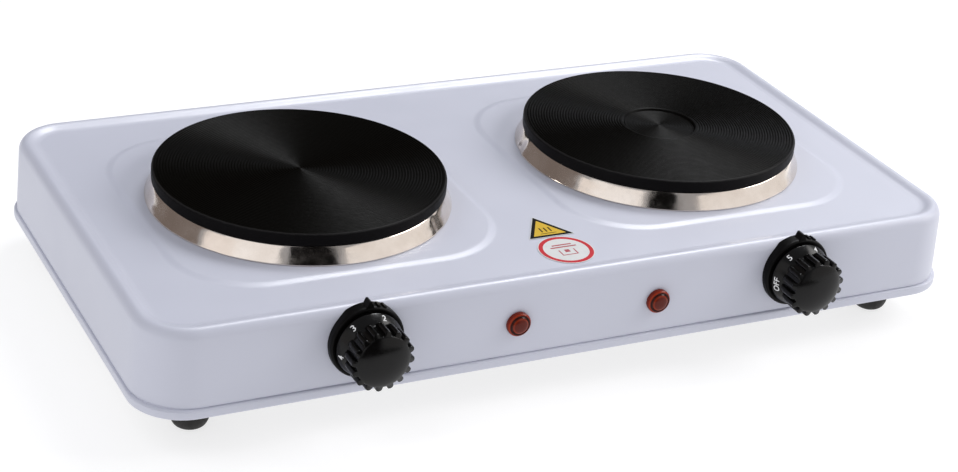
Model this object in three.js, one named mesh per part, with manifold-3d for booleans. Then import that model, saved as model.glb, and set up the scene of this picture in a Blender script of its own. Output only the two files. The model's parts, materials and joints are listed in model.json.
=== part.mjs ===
// Two-plate electric hot plate: pressed steel housing, cast-iron plates, thermostat knobs, pilot lamps.
// Millimetres. +Z is up, -Y is the front with the knobs, +X is to the right seen from the front.
// The origin is the centre of the whole object's footprint, on the surface that the feet stand on.
// Heights below are measured from a datum plane, which the group lifts to footDrop above that surface.
import * as THREE from 'three';
import { mergeVertices } from 'three/addons/utils/BufferGeometryUtils.js';
import Module from 'manifold-3d';

const wasm = await Module();
wasm.setup();

// ---- driving dimensions ----
const bodyWidth = 470;
const bodyDepth = 254;
const cornerRadius = 30;
const sheet = 1.0;              // housing steel, with its enamel
const gap = 0.3;                // clearance between assembled pieces
const housingBottom = 9.8;      // the rolled edge's lowest point
const creaseHeight = 15.1;      // crease between the rolled edge and the wall
const wallTop = 50.5;
const rimHeight = 56.0;
const deckHeight = 53.8;
const rimWidth = 14.5;          // from the outermost edge to the flat deck
const plateauHeight = 54.8;     // pressed-up field that carries a plate
const plateauHalf = 90;
const plateauRadius = 45;
const plateauSlope = 3;

const plateX = 109.5;           // plate centres, left and right of the middle
const plateRadius = 77.5;
const plateTop = 71.0;
const plateEdge = 6.6;          // height of the plate's visible black side
const recessRadius = 21;        // round recess in the right plate
const recessDepth = 1.0;
const skirtFoot = 81.0;         // skirt radius on the deck
const skirtTop = 76.4;          // skirt radius under the plate
const skirtSheet = 0.6;
const deckHole = 50;
const studRadius = 3;

const knobX = 124;
const knobZ = 38.2;
const knobReach = 24.5;         // knob face in front of the housing's foremost edge
const dialRadius = 19.4;
const dialFront = 2.4;          // reach of the dial ring's face
const pointerHeight = 4.2;
const flangeRadius = 17.2;
const gripRadius = 13.9;
const ribRadius = 16.1;
const ribCount = 16;
const shaftRadius = 3;
const leftKnobTurn = 20;        // degrees past position 2
const rightKnobTurn = -39;      // degrees short of position 5

const lampX = 40.5;
const lampZ = 33.0;
const lampRadius = 6.9;
const lampBarrel = 4.8;

const footX = 202;
const footY = 97;
const footRadius = 10;
const footDrop = 11;            // reach of the feet below the datum plane
const screwRadius = 2;

const baseSheet = 1.0;
const baseBottom = 11.0;
const baseInset = 2.8;
const baseFlange = 9;
const slotLength = 62;
const slotWidth = 5;
const slotPitch = 13;
const slotCount = 7;

const wireRadius = 1.3;
const grommetZ = 33;
const grommetHole = 7;
const grommetBore = 4.2;

const fineFacets = 44;
const facets = 26;
const coarseFacets = 12;
const holeFacets = 8;           // small screw holes
const cornerFacets = 5;

const frontY = -bodyDepth / 2;
const backY = bodyDepth / 2;
const sides = [['left', -1], ['right', 1]];

// ---- materials ----
function paint(color, roughness, metalness) {
  return new THREE.MeshStandardMaterial({ color, roughness, metalness });
}

const enamel = () => paint(0xdfe2ec, 0.25, 0.0);
const castIron = () => paint(0x181716, 0.6, 0.4);
const stainless = () => paint(0xc9c0b6, 0.25, 1.0);
const zincSteel = () => paint(0x9a9a9c, 0.45, 0.9);
const blackPlastic = () => paint(0x161515, 0.25, 0.0);
const blackRubber = () => paint(0x101010, 0.7, 0.0);
const redLens = () => paint(0x7a1c12, 0.15, 0.0);
const ceramic = () => paint(0xe6dfd0, 0.6, 0.0);
const cement = () => paint(0x9b948a, 0.9, 0.0);
const copperLead = (color) => paint(color, 0.6, 0.0);
const printedFoil = (color) => paint(color, 0.4, 0.0);

// ---- solids ----
// Closed geometry to solid: shared vertices merged, collapsed triangles dropped, faces turned outwards.
function toSolid(geometry) {
  const bare = geometry.clone();
  bare.deleteAttribute('normal');
  bare.deleteAttribute('uv');
  const merged = mergeVertices(bare, 1e-4);
  const xyz = merged.attributes.position.array;
  const index = merged.index.array;
  const corner = (i) => new THREE.Vector3(xyz[3 * i], xyz[3 * i + 1], xyz[3 * i + 2]);
  const kept = [];
  let volume = 0;
  for (let t = 0; t < index.length; t += 3) {
    const [a, b, c] = [index[t], index[t + 1], index[t + 2]];
    if (a === b || b === c || a === c) continue;
    kept.push(a, b, c);
    volume += corner(a).dot(corner(b).cross(corner(c)));
  }
  if (volume < 0) kept.reverse();
  const vertProperties = new Float32Array(xyz);
  const mesh = new wasm.Mesh({ numProp: 3, vertProperties, triVerts: new Uint32Array(kept) });
  return new wasm.Manifold(mesh);
}

function toGeometry(solid) {
  const mesh = solid.getMesh();
  const geometry = new THREE.BufferGeometry();
  geometry.setAttribute('position', new THREE.BufferAttribute(new Float32Array(mesh.vertProperties), 3));
  geometry.setIndex(new THREE.BufferAttribute(new Uint32Array(mesh.triVerts), 1));
  geometry.computeVertexNormals();
  return geometry;
}

// Turned piece about Z. A profile is a list of [radius, height].
function turned(profile, segments) {
  const points = profile.map(([r, h]) => new THREE.Vector2(r, h));
  return new THREE.LatheGeometry(points, segments).rotateX(Math.PI / 2);
}

// Turned ring: its profile closes on itself, clear of the axis.
function turnedRing(profile, segments) {
  return turned([...profile, profile[0]], segments);
}

// Turned piece about the front-to-back axis. A profile is a list of [radius, reach towards the front].
function turnedFront(profile, segments) {
  return turned(profile, segments).rotateX(Math.PI / 2);
}

function rod(radius, low, high, segments) {
  return turned([[0, low], [radius, low], [radius, high], [0, high]], segments);
}

function frontRod(radius, low, high, segments) {
  return turnedFront([[0, low], [radius, low], [radius, high], [0, high]], segments);
}

function block([x0, x1], [y0, y1], [z0, z1]) {
  const box = new THREE.BoxGeometry(x1 - x0, y1 - y0, z1 - z0);
  return box.translate((x0 + x1) / 2, (y0 + y1) / 2, (z0 + z1) / 2);
}

// Rounded rectangle as points, anticlockwise seen from above.
function roundedOutline(halfX, halfY, radius) {
  const points = [];
  for (const [sx, sy, quarter] of [[1, 1, 0], [-1, 1, 1], [-1, -1, 2], [1, -1, 3]]) {
    for (let i = 0; i <= cornerFacets; i += 1) {
      const angle = (quarter + i / cornerFacets) * Math.PI / 2;
      const x = sx * (halfX - radius) + radius * Math.cos(angle);
      const y = sy * (halfY - radius) + radius * Math.sin(angle);
      points.push([x, y]);
    }
  }
  return points;
}

// Closed stack of rounded rectangles, from the lowest up. Each level is [halfX, halfY, radius, height].
function stack(levels) {
  const rings = levels.map(([halfX, halfY, radius, z]) => (
    roundedOutline(halfX, halfY, radius).map(([x, y]) => [x, y, z])
  ));
  const count = rings[0].length;
  const index = [];
  for (let level = 0; level + 1 < rings.length; level += 1) {
    for (let i = 0; i < count; i += 1) {
      const a = level * count + i;
      const b = level * count + (i + 1) % count;
      index.push(a, b, b + count, a, b + count, a + count);
    }
  }
  const top = (rings.length - 1) * count;
  for (let i = 1; i + 1 < count; i += 1) {
    index.push(0, i + 1, i);
    index.push(top, top + i, top + i + 1);
  }
  const geometry = new THREE.BufferGeometry();
  geometry.setAttribute('position', new THREE.Float32BufferAttribute(rings.flat(2), 3));
  geometry.setIndex(index);
  return geometry;
}

// Round-ended slot along X, cut from z0 to z1.
function slot(length, width, z0, z1) {
  const outline = new THREE.Shape();
  const straight = (length - width) / 2;
  outline.absarc(straight, 0, width / 2, -Math.PI / 2, Math.PI / 2);
  outline.absarc(-straight, 0, width / 2, Math.PI / 2, Math.PI * 1.5);
  const settings = { depth: z1 - z0, bevelEnabled: false, curveSegments: 3 };
  return new THREE.ExtrudeGeometry(outline, settings).translate(0, 0, z0);
}

function cut(geometry, ...tools) {
  return toGeometry(tools.reduce((solid, tool) => solid.subtract(toSolid(tool)), toSolid(geometry)));
}

function join(geometry, ...others) {
  return toGeometry(others.reduce((solid, other) => solid.add(toSolid(other)), toSolid(geometry)));
}

function wire(points) {
  const path = new THREE.CatmullRomCurve3(points.map(([x, y, z]) => new THREE.Vector3(x, y, z)));
  const section = new THREE.Shape();
  section.absarc(0, 0, wireRadius, 0, Math.PI * 2);
  const settings = { steps: 12, curveSegments: 3, bevelEnabled: false, extrudePath: path };
  return new THREE.ExtrudeGeometry(section, settings);
}

// ---- the object ----
const hotPlate = new THREE.Group();
hotPlate.position.set(0, knobReach / 2, footDrop);

function addPiece(name, geometry, material, x = 0, y = 0, z = 0, parent = hotPlate) {
  const mesh = new THREE.Mesh(toGeometry(toSolid(geometry)), material);
  mesh.name = name;
  mesh.position.set(x, y, z);
  parent.add(mesh);
  return mesh;
}

// ---- housing: rolled edge, crease, drafted wall, soft rim, deck. Each level is [inset, height]. ----
const wallInset = 1.0;
const wallDraft = 1.6;
const housingProfile = [
  [0.4, housingBottom],
  [0.0, housingBottom + 1.2],
  [0.0, creaseHeight - 1.9],
  [0.5, creaseHeight - 0.6],
  [wallInset, creaseHeight],
  [wallInset, creaseHeight + 0.5],
  [wallInset + wallDraft, wallTop],
  [wallInset + wallDraft + 0.7, wallTop + 2.7],
  [wallInset + wallDraft + 2.3, rimHeight - 0.7],
  [wallInset + wallDraft + 4.5, rimHeight],
  [rimWidth - 5.4, rimHeight - 0.4],
  [rimWidth - 2.1, deckHeight + 0.4],
  [rimWidth, deckHeight],
];

function housingShape(shift, drop) {
  return stack(housingProfile.map(([inset, z]) => {
    const total = inset + shift;
    return [bodyWidth / 2 - total, bodyDepth / 2 - total, cornerRadius - total, z - drop];
  }));
}

// The plateau's slope starts below the deck's face, so that the two cross cleanly.
function plateauShape(side, shift, drop) {
  const sunk = 0.5;
  const rise = plateauHeight - deckHeight;
  const levels = [[-plateauSlope * sunk / rise, deckHeight - sunk], [plateauSlope, plateauHeight]];
  const shape = stack(levels.map(([inset, z]) => {
    const half = plateauHalf - inset - shift;
    return [half, half, plateauRadius - inset - shift, z - drop];
  }));
  return shape.translate(side * plateX, 0, 0);
}

function hollowHousing() {
  let outside = toSolid(housingShape(0, 0));
  let inside = toSolid(housingShape(sheet, sheet));
  for (const [, side] of sides) {
    outside = outside.add(toSolid(plateauShape(side, 0, 0)));
    inside = inside.add(toSolid(plateauShape(side, sheet, sheet)));
  }
  return toGeometry(outside.subtract(inside));
}

const bushHole = 5.6;
const screwPitch = 14;          // thermostat screws, each side of the shaft
const through = 5;              // how far a cutting tool stands out of the sheet it cuts
const wallHoles = [];

function cutWall(radius, segments, x, z) {
  wallHoles.push(frontRod(radius, -rimWidth, through, segments).translate(x, frontY, z));
}

for (const [, side] of sides) {
  const plateHole = rod(deckHole, deckHeight - through, plateauHeight + through, fineFacets);
  wallHoles.push(plateHole.translate(side * plateX, 0, 0));
  cutWall(bushHole, coarseFacets, side * knobX, knobZ);
  cutWall(lampBarrel + gap, coarseFacets, side * lampX, lampZ);
  cutWall(screwRadius + gap, holeFacets, side * knobX - screwPitch, knobZ);
  cutWall(screwRadius + gap, holeFacets, side * knobX + screwPitch, knobZ);
}
const inlet = frontRod(grommetHole, -through, rimWidth, coarseFacets);
wallHoles.push(inlet.translate(0, backY, grommetZ));
addPiece('top_housing', cut(hollowHousing(), ...wallHoles), enamel());

// The housing's outside, grown by the assembly gap: what pieces on the wall are cut back to.
const grownHousing = () => housingShape(-gap, 0);

// ---- base plate: shallow tray with vent slots ----
const earthY = 52;

function baseLevel(shift, z) {
  const inset = baseInset + shift;
  return [bodyWidth / 2 - inset, bodyDepth / 2 - inset, cornerRadius - inset, z];
}

function baseTray() {
  const tray = stack([baseLevel(0, baseBottom), baseLevel(0, baseBottom + baseFlange)]);
  const floor = baseBottom + baseSheet;
  const hollow = stack([baseLevel(baseSheet, floor), baseLevel(baseSheet, floor + baseFlange)]);
  const screwHole = () => rod(screwRadius + gap, baseBottom - 1, floor + 1, holeFacets);
  const tools = [hollow, screwHole().translate(0, earthY, 0)];
  for (const [, side] of sides) {
    for (let i = 0; i < slotCount; i += 1) {
      const y = (i - (slotCount - 1) / 2) * slotPitch;
      tools.push(slot(slotLength, slotWidth, baseBottom - 1, floor + 1).translate(side * plateX, y, 0));
    }
    for (const end of [-1, 1]) {
      tools.push(screwHole().translate(side * footX, end * footY, 0));
    }
  }
  return cut(tray, ...tools);
}
addPiece('base_plate', baseTray(), zincSteel());

// ---- feet: domed rubber with a sunk screw that goes up into a corner bracket ----
const footTop = baseBottom - gap;
const sole = -footDrop;
const seat = sole + 14;         // what the sunk screw's head bears on
const footProfile = [
  [screwRadius + gap, seat],
  [4.2, seat],
  [4.4, sole],
  [5.8, sole],
  [7.8, sole + 1.0],
  [9.2, sole + 3.0],
  [footRadius, sole + 6.0],
  [footRadius + 0.8, footTop],
  [screwRadius + gap, footTop],
];
const screwHead = seat - gap;
const screwEnd = 21;
const screwProfile = [
  [0, screwHead - 2.3], [3.0, screwHead - 2.3], [3.6, screwHead - 1.7], [3.6, screwHead],
  [screwRadius, screwHead], [screwRadius, screwEnd], [0, screwEnd],
];
const bracketSheet = 1.5;
const bracketLow = baseBottom + baseSheet + gap;
const bracketHigh = bracketLow + 20;
const bracketWall = bodyWidth / 2 - baseInset - baseSheet - gap - footX;   // screw to side wall
const bracketTab = [10, 26];    // where the upright stands, past the housing's round corner

// Drawn for the front right corner: a flat over the foot and an upright tab against the side wall.
function cornerBracket(side, end) {
  const level = [bracketLow, bracketLow + bracketSheet];
  const flat = block([-10, 14], [-9, bracketTab[1]], level);
  const tongue = block([10, bracketWall], bracketTab, level);
  const upright = block([bracketWall - bracketSheet, bracketWall], bracketTab, [bracketLow, bracketHigh]);
  const hole = rod(screwRadius + gap, bracketLow - 1, bracketLow + 3, holeFacets);
  return cut(join(flat, tongue, upright), hole).scale(side, -end, 1);
}

for (const [sideName, side] of sides) {
  for (const [endName, end] of [['front', -1], ['back', 1]]) {
    const place = [side * footX, end * footY, 0];
    addPiece(`foot_${endName}_${sideName}`, turnedRing(footProfile, coarseFacets), blackRubber(), ...place);
    const screw = turned(screwProfile, coarseFacets);
    addPiece(`foot_screw_${endName}_${sideName}`, screw, zincSteel(), ...place);
    addPiece(`corner_bracket_${endName}_${sideName}`, cornerBracket(side, end), zincSteel(), ...place);
  }
}

// ---- heating plates ----
const ledge = plateTop - plateEdge;          // underside of the plate's overhang
const rimInner = plateRadius - 11.5;
const rimBottom = 58.6;         // underside of the rim that presses on the skirt's inside
const chamberTop = 65.2;
const bossBottom = 57.6;
const studTop = 63.7;

function ironPlate(recessed) {
  const face = recessed
    ? [[0, plateTop - recessDepth], [recessRadius - 1, plateTop - recessDepth], [recessRadius, plateTop]]
    : [[0, plateTop]];
  return turned([
    ...face,
    [plateRadius - 0.8, plateTop],
    [plateRadius, plateTop - 0.8],
    [plateRadius, ledge + 0.5],
    [plateRadius - 0.5, ledge],
    [plateRadius - 6, ledge],
    [plateRadius - 6.5, rimBottom],
    [rimInner, rimBottom],
    [rimInner, chamberTop],
    [10, chamberTop],
    [9.5, bossBottom],
    [studRadius + gap, bossBottom],
    [studRadius + gap, studTop + gap],
    [0, studTop + gap],
  ], fineFacets);
}

const skirtLip = plateRadius - 5.2;
const skirtLow = plateauHeight + 0.2;
const skirtHigh = ledge - gap;
const skirtProfile = [
  [skirtFoot, skirtLow],
  [skirtTop, skirtHigh],
  [skirtLip, skirtHigh],
  [skirtLip, skirtHigh - skirtSheet],
  [skirtTop - skirtSheet, skirtHigh - skirtSheet],
  [skirtFoot - skirtSheet, skirtLow],
];

function flatRing(inner, outer, low, high) {
  return turnedRing([[inner, low], [outer, low], [outer, high], [inner, high]], facets);
}

const elementBottom = 60.6;
const elementOuter = 64;
const elementInner = 14;
const coverTop = elementBottom - gap;
const coverBottom = coverTop - 0.8;
const coverInner = 11;

const connectorY = 40;
const connectorBottom = 49.5;
const yokeHalf = 61;
const yokeWidth = 24;
const yokeHigh = plateauHeight - sheet - gap;
const yokeLow = yokeHigh - 4.5;
const yokeSheet = 1.5;

// Clamp yoke: a strip that spans the deck hole from below, its middle dropped to take the nut.
function clampYoke() {
  const bend = deckHole - 6;
  const top = [[-yokeHalf, yokeHigh], [-bend, yokeHigh], [-bend + 8, yokeLow]];
  const upper = [...top, ...top.map(([x, z]) => [-x, z]).reverse()];
  const lower = upper.map(([x, z]) => [x, z - yokeSheet]).reverse();
  const outline = new THREE.Shape([...upper, ...lower].map(([x, z]) => new THREE.Vector2(x, z)));
  const strip = new THREE.ExtrudeGeometry(outline, { depth: yokeWidth, bevelEnabled: false });
  strip.translate(0, 0, -yokeWidth / 2).rotateX(Math.PI / 2);
  return cut(strip, rod(studRadius + gap, yokeLow - through, yokeHigh + through, coarseFacets));
}

const nutTop = yokeLow - yokeSheet - gap;
const nutHeight = 5;
const nutAcross = 5.8;           // centre to corner of the hexagon
const studBottom = nutTop - nutHeight - 3;

function clampNut() {
  const bore = rod(studRadius + gap, nutTop - nutHeight - 1, nutTop + 1, coarseFacets);
  return cut(rod(nutAcross, nutTop - nutHeight, nutTop, 6), bore);
}

for (const [name, side] of sides) {
  const x = side * plateX;
  addPiece(`${name}_iron_plate`, ironPlate(side > 0), castIron(), x);
  addPiece(`${name}_skirt_ring`, turnedRing(skirtProfile, fineFacets), stainless(), x);
  const element = flatRing(elementInner, elementOuter, elementBottom, chamberTop - gap);
  addPiece(`${name}_heating_element`, element, cement(), x);
  const cover = flatRing(coverInner, rimInner - gap, coverBottom, coverTop);
  addPiece(`${name}_element_cover`, cover, zincSteel(), x);
  const connector = block([-12, 12], [-5, 5], [connectorBottom, coverBottom - gap]);
  addPiece(`${name}_plate_connector`, connector, ceramic(), x, connectorY);
  addPiece(`${name}_plate_stud`, rod(studRadius, studBottom, studTop, coarseFacets), zincSteel(), x);
  addPiece(`${name}_clamp_yoke`, clampYoke(), zincSteel(), x);
  addPiece(`${name}_clamp_nut`, clampNut(), zincSteel(), x);
}

// ---- thermostats, dial rings and knobs; reach is measured forward from the housing's front edge ----
const thermostatFace = -4.6;
const thermostatDepth = 28;
const bushRadius = 5;
const shaftEnd = 15;
const shaftBack = -16;

function thermostatBody() {
  const body = block([-19, 19], [-thermostatFace, thermostatDepth - thermostatFace], [-14, 14]);
  const bush = frontRod(bushRadius, thermostatFace - through, 1.5, coarseFacets);
  const bore = frontRod(shaftRadius + gap, shaftBack - gap, through, coarseFacets);
  const threads = [-screwPitch, screwPitch].map((x) => (
    frontRod(screwRadius + 0.2, -12, through, holeFacets).translate(x, 0, 0)
  ));
  return cut(join(body, bush), bore, ...threads);
}

// Ring about the knob's axis, from radius inner to outer and from reach back to front.
function frontRing(inner, outer, back, front) {
  return turnedFront([[inner, back], [outer, back], [outer, front], [inner, front], [inner, back]], facets);
}

const dialBack = -5;
const dialBore = bushHole + 1.4;
const dialWall = 1.6;
const pointerHalf = 2.4;
const pointerDepth = 2.2;

// Dial ring: hollow behind, its back edge follows the drafted wall, with a pointer on top.
function dialRing(x) {
  const ring = frontRing(dialBore, dialRadius, dialBack, dialFront);
  const outline = new THREE.Shape();
  outline.moveTo(-pointerHalf, 0).lineTo(pointerHalf, 0).lineTo(0, pointerHeight);
  const pointer = new THREE.ExtrudeGeometry(outline, { depth: pointerDepth, bevelEnabled: false });
  pointer.rotateX(Math.PI / 2).translate(0, pointerDepth - dialFront, dialRadius - 1);
  const hollow = frontRing(dialBore + dialWall, dialRadius - dialWall, dialBack - 1, dialFront - dialWall);
  const wall = grownHousing().translate(-x, -frontY, -knobZ);
  return cut(join(ring, pointer), hollow, wall);
}

// Shaft with a flat at its front end.
function shaft() {
  const flat = block([-5, 5], [-shaftEnd - 1, -shaftEnd + 9], [1.6, 5]);
  return cut(frontRod(shaftRadius, shaftBack, shaftEnd, coarseFacets), flat);
}

// One rib and the valley beside it, as [share of the pitch, radius].
const ribOutline = [
  [0, gripRadius], [0.5, gripRadius], [0.6, ribRadius - 0.4], [0.75, ribRadius], [0.9, ribRadius - 0.4],
];

function ribbedGrip(low, high) {
  const outline = [];
  for (let i = 0; i < ribCount; i += 1) {
    for (const [share, radius] of ribOutline) {
      const angle = (i + share) * 2 * Math.PI / ribCount;
      outline.push(new THREE.Vector2(radius * Math.cos(angle), radius * Math.sin(angle)));
    }
  }
  const settings = { depth: high - low, bevelEnabled: false };
  const grip = new THREE.ExtrudeGeometry(new THREE.Shape(outline), settings);
  return grip.translate(0, 0, low).rotateX(Math.PI / 2);
}

function knob() {
  const back = dialFront + 0.4;
  const core = turnedFront([
    [0, back],
    [flangeRadius, back],
    [flangeRadius, back + 1.4],
    [gripRadius + 1.0, back + 5],
    [gripRadius, back + 6],
    [gripRadius, knobReach - 2.6],
    [gripRadius - 3.6, knobReach - 0.9],
    [gripRadius - 8, knobReach - 0.2],
    [0, knobReach],
  ], facets);
  const bore = frontRod(shaftRadius + gap, back - 1, shaftEnd + gap, coarseFacets);
  return cut(join(core, ribbedGrip(back + 2.2, knobReach - 3.4)), bore);
}

const shank = screwRadius - 0.1;
const wallScrew = [[0, -9.5], [shank, -9.5], [shank, -1.6], [3.2, -1.6], [3.2, 0], [2.6, 0.4], [0, 0.4]];

for (const [name, side] of sides) {
  const x = side * knobX;
  const turn = THREE.MathUtils.degToRad(side < 0 ? leftKnobTurn : rightKnobTurn);
  addPiece(`${name}_thermostat`, thermostatBody(), ceramic(), x, frontY, knobZ);
  addPiece(`${name}_dial_ring`, dialRing(x), blackPlastic(), x, frontY, knobZ);
  for (const [screwName, out] of [['outer', side], ['inner', -side]]) {
    const screw = turnedFront(wallScrew, coarseFacets);
    const place = [x + out * screwPitch, frontY, knobZ];
    addPiece(`${name}_thermostat_screw_${screwName}`, screw, zincSteel(), ...place);
  }
  const turning = new THREE.Group();
  turning.position.set(x, frontY, knobZ);
  turning.rotation.y = turn;
  hotPlate.add(turning);
  addPiece(`${name}_thermostat_shaft`, shaft(), zincSteel(), 0, 0, 0, turning);
  addPiece(`${name}_knob`, knob(), blackPlastic(), 0, 0, 0, turning);
}

// ---- pilot lamps: a domed lens with a barrel through the wall, and a socket behind ----
const lensReach = 2.6;
const lensBack = -16;

function lampLens(x) {
  const head = turnedFront([
    [0, -6], [lampRadius, -6], [lampRadius, 0.2], [lampRadius - 0.6, 0.9], [lampRadius - 1.6, 1.9],
    [lampRadius - 3, lensReach], [0, lensReach],
  ], facets);
  const wall = grownHousing().translate(-x, -frontY, -lampZ);
  return join(cut(head, wall), frontRod(lampBarrel, lensBack, 0, coarseFacets));
}

const socket = [
  [0, -27], [6.2, -27], [6.2, thermostatFace - 0.4], [lampBarrel + gap, thermostatFace - 0.4],
  [lampBarrel + gap, lensBack - gap], [0, lensBack - gap],
];

for (const [name, side] of sides) {
  const place = [side * lampX, frontY, lampZ];
  addPiece(`${name}_lamp_lens`, lampLens(side * lampX), redLens(), ...place);
  addPiece(`${name}_lamp_socket`, turnedFront(socket, coarseFacets), ceramic(), ...place);
}

// ---- supply side: grommet in the back wall, terminal block, wiring ----
const grommetProfile = [
  [grommetBore, -6], [grommetHole + 2, -6], [grommetHole + 2, -3.5], [grommetHole - gap, -3.5],
  [grommetHole - gap, -1.3], [grommetHole + 2, -1.3], [grommetHole + 1.4, -0.2], [grommetBore, -0.2],
];
const grommet = turnedRing(grommetProfile, coarseFacets).rotateX(-Math.PI / 2);
addPiece('cord_grommet', grommet, blackRubber(), 0, backY, grommetZ);

const blockY = [89, 105];
const blockTop = 27;
const wireY = blockY[0] - 2 * gap;
const wireZ = 20;
const terminalHoles = [-11, 0, 11].map((x) => (
  rod(2.2, wireZ, blockTop + 1, coarseFacets).translate(x, (blockY[0] + blockY[1]) / 2, 0)
));
const terminalBody = block([-17, 17], blockY, [baseBottom + baseSheet + gap, blockTop]);
addPiece('terminal_block', cut(terminalBody, ...terminalHoles), ceramic());

const thermostatBack = frontY + thermostatDepth - thermostatFace + 2 * gap;
const connectorFoot = connectorBottom - 2 * gap;
const leads = [
  ['line_wire', 0x5a3a22, [
    [5, wireY, wireZ], [5, 80, wireZ], [20, 18, 17.5],
    [62, -46, 17.5], [117, -84, 27], [117, thermostatBack, 28],
  ]],
  ['load_wire', 0x202020, [
    [131, thermostatBack, 30], [131, -86, 29], [135, -30, 22], [127, 12, 30],
    [plateX + 5, connectorY, 42], [plateX + 5, connectorY, connectorFoot],
  ]],
  ['neutral_wire', 0x2b4f8c, [
    [12, wireY, wireZ], [12, 80, wireZ], [36, 64, 22], [74, 52, 27],
    [plateX - 6, connectorY, 42], [plateX - 6, connectorY, connectorFoot],
  ]],
];
for (const [name, side] of sides) {
  for (const [leadName, color, route] of leads) {
    addPiece(`${name}_${leadName}`, wire(route.map(([x, y, z]) => [side * x, y, z])), copperLead(color));
  }
}
const earthRoute = [[0, wireY, wireZ], [0, 83, wireZ], [0, 74, 15.2], [0, 66, 13.8], [0, earthY + 5, 13.8]];
addPiece('earth_wire', wire(earthRoute), copperLead(0x5f8f3a));
const earthScrew = [
  [0, footTop - 2.1], [3.4, footTop - 2.1], [3.8, footTop - 1.5], [3.8, footTop],
  [screwRadius, footTop], [screwRadius, 19], [0, 19],
];
addPiece('earth_screw', turned(earthScrew, coarseFacets), zincSteel(), 0, earthY);

// ---- stickers on the deck ----
const stickerThickness = 0.2;
const stickerLift = 0.1;
const triangleSide = 27;
const triangleY = -73;
const discRadius = 15.0;
const discY = -96.4;

function triangleSticker() {
  const half = triangleSide / 2;
  const third = half / Math.sqrt(3);
  const outline = new THREE.Shape();
  outline.moveTo(-half, -third).lineTo(half, -third).lineTo(0, 2 * third);
  return new THREE.ExtrudeGeometry(outline, { depth: stickerThickness, bevelEnabled: false });
}

const stickerZ = deckHeight + stickerLift;
addPiece('triangle_sticker', triangleSticker(), printedFoil(0xd1ab41), 0, triangleY, stickerZ);
const discSticker = rod(discRadius, 0, stickerThickness, facets);
addPiece('round_sticker', discSticker, printedFoil(0xe9e9ee), 0, discY, stickerZ);

export default hotPlate;
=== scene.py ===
"""Looks of the two-plate electric hot plate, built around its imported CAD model.

The scene is in metres, +Z up, and -Y is the object's front. Profiles are in millimetres.
"""
import json
import math

import bmesh
import bpy
import numpy as np
from mathutils import Matrix, Vector
from mathutils.geometry import delaunay_2d_cdt


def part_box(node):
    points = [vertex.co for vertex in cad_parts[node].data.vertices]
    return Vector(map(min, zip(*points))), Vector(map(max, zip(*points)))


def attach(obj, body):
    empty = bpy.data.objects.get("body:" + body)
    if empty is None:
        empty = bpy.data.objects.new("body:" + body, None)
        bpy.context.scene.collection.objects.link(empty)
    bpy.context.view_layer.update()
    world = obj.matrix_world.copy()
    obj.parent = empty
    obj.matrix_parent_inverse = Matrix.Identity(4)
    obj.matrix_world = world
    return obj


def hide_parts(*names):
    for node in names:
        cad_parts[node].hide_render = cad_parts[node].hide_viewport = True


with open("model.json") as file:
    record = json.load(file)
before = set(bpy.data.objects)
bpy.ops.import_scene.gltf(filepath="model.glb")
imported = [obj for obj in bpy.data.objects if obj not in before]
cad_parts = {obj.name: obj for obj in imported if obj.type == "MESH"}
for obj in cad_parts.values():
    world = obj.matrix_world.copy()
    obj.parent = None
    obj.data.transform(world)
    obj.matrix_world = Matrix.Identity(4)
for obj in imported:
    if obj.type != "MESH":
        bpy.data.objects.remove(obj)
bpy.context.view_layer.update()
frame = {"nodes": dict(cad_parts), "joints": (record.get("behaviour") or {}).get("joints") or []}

MM = 0.001
SIDES = (("left", -1), ("right", 1))
joint_at = {j["name"]: Vector(j["pos_m"]) for j in frame["joints"]}
scene = bpy.context.scene
MIDDLE = Vector((0, 0, 0.05))
SHARP = 30              # degrees between faces from which their edge is shown sharp


# ---- camera, light and floor ----
def turned_camera(azimuth, elevation, roll, aim, distance, lens):
    """Camera at the front left of the object, looking down on aim."""
    az, el, roll = (math.radians(a) for a in (azimuth, elevation, roll))
    back = Vector((-math.sin(az) * math.cos(el), -math.cos(az) * math.cos(el), math.sin(el)))
    level = Vector((math.cos(az), -math.sin(az), 0))
    upright = back.cross(level)
    across = level * math.cos(roll) + upright * math.sin(roll)
    up = upright * math.cos(roll) - level * math.sin(roll)
    data = bpy.data.cameras.new("camera")
    data.sensor_width = 36
    data.lens = lens
    camera = bpy.data.objects.new("camera", data)
    scene.collection.objects.link(camera)
    facing = Matrix((across, up, back)).transposed().to_4x4()
    camera.matrix_world = Matrix.Translation(aim + back * distance) @ facing
    scene.camera = camera


def soft_light(name, place, size, watts, color, size_y=None):
    """Area light that faces the middle of the object."""
    data = bpy.data.lights.new(name, "AREA")
    data.shape = "RECTANGLE"
    data.size = size
    data.size_y = size_y or size
    data.energy = watts
    data.color = color
    light = bpy.data.objects.new(name, data)
    scene.collection.objects.link(light)
    light.location = place
    light.rotation_euler = (MIDDLE - Vector(place)).to_track_quat("-Z", "Y").to_euler()
    return light


turned_camera(28.28, 26.56, 5.3, Vector((-32.07, -48.04, 59.96)) * MM, 1.1085, 79.69)
scene.view_settings.view_transform = "Standard"

world = bpy.data.worlds.new("studio")
world.use_nodes = True
studio = world.node_tree.nodes["Background"]
studio.inputs["Color"].default_value = (0.84, 0.85, 0.90, 1)
studio.inputs["Strength"].default_value = 0.45
scene.world = world

soft_light("key", (1.25, -0.32, 0.95), 0.8, 11.5, (1, 0.985, 0.97))
soft_light("overhead", (1.85, 1.45, 3.2), 1.4, 42.0, (0.94, 0.96, 1))
soft_light("fill", (-1.55, -0.9, 0.9), 1.5, 3.0, (1, 0.97, 0.95), 1.0)
soft_light("upper_left", (-1.2, 0.1, 1.7), 1.2, 7.5, (0.97, 0.98, 1)).visible_glossy = False


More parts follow.
